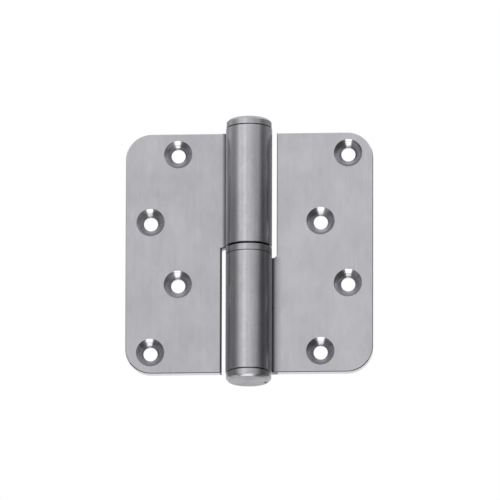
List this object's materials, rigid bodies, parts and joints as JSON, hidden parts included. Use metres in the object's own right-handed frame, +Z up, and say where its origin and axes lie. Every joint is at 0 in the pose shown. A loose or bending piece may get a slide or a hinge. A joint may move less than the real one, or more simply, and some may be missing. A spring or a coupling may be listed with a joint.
{
  "type": "paumelle hinge",
  "caption": "Open lift-off hinge with rolled knuckles on a fixed pin, a bearing ring, end caps and staggered countersunk screw holes in round-cornered leaves.",
  "frame": {"origin": "on the pin axis at mid-height, in the middle of the bearing ring", "axes": "+Z up along the pin, from the frame leaf's knuckle to the door leaf's; +X from the pin to the frame leaf; -Y is the countersunk side of the open leaves"},
  "size_m": [0.1, 0.0186, 0.1088],
  "materials": {
    "brushed_leaf": "stainless sheet, brushed along the pin",
    "ground_pin": "ground stainless bar",
    "turned_ring": "turned stainless ring",
    "turned_cap": "turned stainless cap with a faced end"
  },
  "bodies": {
    "frame": {"frame_leaf": "brushed_leaf", "hinge_pin": "ground_pin", "bottom_cap": "turned_cap"},
    "ring": {"bearing_ring": "turned_ring"},
    "door": {"door_leaf": "brushed_leaf", "top_cap": "turned_cap"}
  },
  "joints": [
    {"name": "swing", "type": "hinge", "parent": "frame", "child": "ring", "pos_m": [0, 0, 0], "axis": [0, 0, 1], "range_deg": [-115, 180]},
    {"name": "lift_off", "type": "slide", "parent": "ring", "child": "door", "axis": [0, 0, 1], "range_m": [0, 0.045]}
  ]
}
